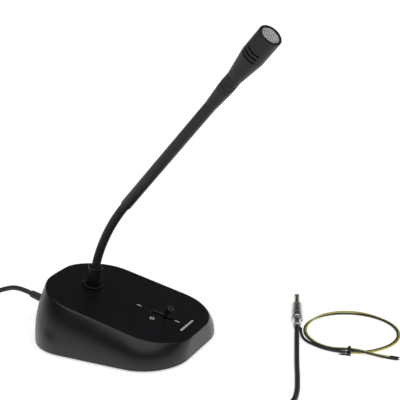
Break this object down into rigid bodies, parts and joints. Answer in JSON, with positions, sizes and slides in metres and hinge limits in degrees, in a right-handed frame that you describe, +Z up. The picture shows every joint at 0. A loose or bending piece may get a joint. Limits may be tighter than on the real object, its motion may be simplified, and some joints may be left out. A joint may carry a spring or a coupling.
{
  "type": "gooseneck podium microphone",
  "caption": "Desktop paging microphone: flexible gooseneck and head on a sloping base with a three position lever, a cord with a 6.35 mm jack plug and a control wire pair.",
  "frame": {"origin": "middle of the base's underside, on the desk", "axes": "+Z up; -Y towards the user, down the sloping top; +Y towards the cord's exit; X across the base"},
  "size_m": [0.3622, 0.4686, 0.3413],
  "materials": {
    "housing": "satin black moulded plastic with a very fine grain",
    "inner_plastic": "plain black moulded plastic",
    "lever_plastic": "black, slightly glossy plastic",
    "plain_steel": "zinc plated sheet",
    "screw_steel": "zinc plated",
    "rubber": "matt black rubber",
    "foam": "open black foam",
    "circuit_board": "green solder mask",
    "white_print": "white printed ink",
    "cord_jacket": "matt black cable jacket",
    "yellow_jacket": "yellow green wire insulation",
    "painted_fittings": "black satin paint",
    "painted_tube": "dark grey matt powder coat",
    "wound_neck": "black finished wound steel",
    "nickel": "satin nickel",
    "grille_metal": "silver grey wire mesh",
    "jack_metal": "warm toned bright nickel",
    "tinned_wire": "tinned copper strands"
  },
  "bodies": {
    "base": {"base_shell": "housing", "bottom_plate": "plain_steel", "base_mat": "rubber", "bottom_screws": "screw_steel", "ballast": "plain_steel", "ballast_screws": "screw_steel", "switch_board": "circuit_board", "board_screws": "screw_steel", "switch_body": "inner_plastic", "lever_pin": "screw_steel", "switch_marks": "white_print", "cord_clamp": "inner_plastic", "clamp_screws": "screw_steel", "inner_leads": "cord_jacket", "neck_flange": "housing", "neck_socket": "painted_fittings", "neck_nut": "screw_steel", "neck_link_00": "wound_neck", "strain_relief": "rubber", "cord_near": "cord_jacket", "cord_coil": "cord_jacket", "coil_tie": "cord_jacket", "cord_far": "cord_jacket", "plug_tail": "nickel", "plug_barrel": "nickel", "plug_sleeve": "jack_metal", "plug_insulator": "inner_plastic", "plug_tip": "jack_metal", "pair_lead": "cord_jacket", "wire_black": "cord_jacket", "wire_yellow": "yellow_jacket", "wire_tie": "cord_jacket", "wire_shrinks": "cord_jacket", "wire_ends": "tinned_wire"},
    "lever": {"switch_lever": "lever_plastic"},
    "neck_1": {"neck_link_01": "wound_neck"},
    "neck_2": {"neck_link_02": "wound_neck"},
    "neck_3": {"neck_link_03": "wound_neck"},
    "neck_4": {"neck_link_04": "wound_neck"},
    "neck_5": {"neck_link_05": "wound_neck"},
    "neck_6": {"neck_link_06": "wound_neck"},
    "neck_7": {"neck_link_07": "wound_neck"},
    "neck_8": {"neck_link_08": "wound_neck"},
    "neck_9": {"neck_link_09": "wound_neck"},
    "head": {"neck_link_10": "wound_neck", "sleeve_tube": "painted_tube", "taper_joint": "painted_tube", "head_coupling": "painted_tube", "coupling_band": "painted_tube", "head_shell": "painted_tube", "capsule_seat": "rubber", "capsule": "nickel", "foam_disc": "foam", "grille_mesh": "grille_metal", "grille_ring": "painted_fittings"}
  },
  "joints": [
    {"name": "lever_tilt", "type": "hinge", "parent": "base", "child": "lever", "pos_m": [0, -0.04197, 0.02442], "axis": [-1, 0, 0], "range_deg": [0, 42]},
    {"name": "neck_fore_1", "type": "hinge", "parent": "base", "child": "neck_1", "pos_m": [0, 0.03233, 0.07656], "axis": [0.9191, -0.3842, -0.0873], "range_deg": [-12, 8]},
    {"name": "neck_side_1", "type": "hinge", "parent": "neck_1", "child": "neck_2", "pos_m": [-0.00036, 0.02957, 0.08486], "axis": [0.3901, 0.8565, 0.3381], "range_deg": [-12, 12]},
    {"name": "neck_fore_2", "type": "hinge", "parent": "neck_2", "child": "neck_3", "pos_m": [-0.00097, 0.02629, 0.09297], "axis": [0.9191, -0.3842, -0.0873], "range_deg": [-12, 8]},
    {"name": "neck_side_2", "type": "hinge", "parent": "neck_3", "child": "neck_4", "pos_m": [-0.00177, 0.02258, 0.10086], "axis": [0.3806, 0.8088, 0.4483], "range_deg": [-12, 12]},
    {"name": "neck_fore_3", "type": "hinge", "parent": "neck_4", "child": "neck_5", "pos_m": [-0.00275, 0.01849, 0.10855], "axis": [0.9191, -0.3842, -0.0873], "range_deg": [-12, 8]},
    {"name": "neck_side_3", "type": "hinge", "parent": "neck_5", "child": "neck_6", "pos_m": [-0.00389, 0.01406, 0.11601], "axis": [0.3685, 0.7599, 0.5355], "range_deg": [-12, 12]},
    {"name": "neck_fore_4", "type": "hinge", "parent": "neck_6", "child": "neck_7", "pos_m": [-0.00519, 0.00931, 0.12326], "axis": [0.9191, -0.3842, -0.0873], "range_deg": [-12, 8]},
    {"name": "neck_side_4", "type": "hinge", "parent": "neck_7", "child": "neck_8", "pos_m": [-0.00663, 0.00427, 0.13028], "axis": [0.3543, 0.7093, 0.6094], "range_deg": [-12, 12]},
    {"name": "neck_fore_5", "type": "hinge", "parent": "neck_8", "child": "neck_9", "pos_m": [-0.0082, -0.00104, 0.13706], "axis": [0.9191, -0.3842, -0.0873], "range_deg": [-12, 8]},
    {"name": "neck_side_5", "type": "hinge", "parent": "neck_9", "child": "head", "pos_m": [-0.00991, -0.00661, 0.14361], "axis": [0.3386, 0.6572, 0.6734], "range_deg": [-12, 12]}
  ],
  "couplings": [
    {"joint": "neck_fore_2", "follows": "neck_fore_1", "ratio": 1},
    {"joint": "neck_side_2", "follows": "neck_side_1", "ratio": 1},
    {"joint": "neck_fore_3", "follows": "neck_fore_1", "ratio": 1},
    {"joint": "neck_side_3", "follows": "neck_side_1", "ratio": 1},
    {"joint": "neck_fore_4", "follows": "neck_fore_1", "ratio": 1},
    {"joint": "neck_side_4", "follows": "neck_side_1", "ratio": 1},
    {"joint": "neck_fore_5", "follows": "neck_fore_1", "ratio": 1},
    {"joint": "neck_side_5", "follows": "neck_side_1", "ratio": 1}
  ]
}
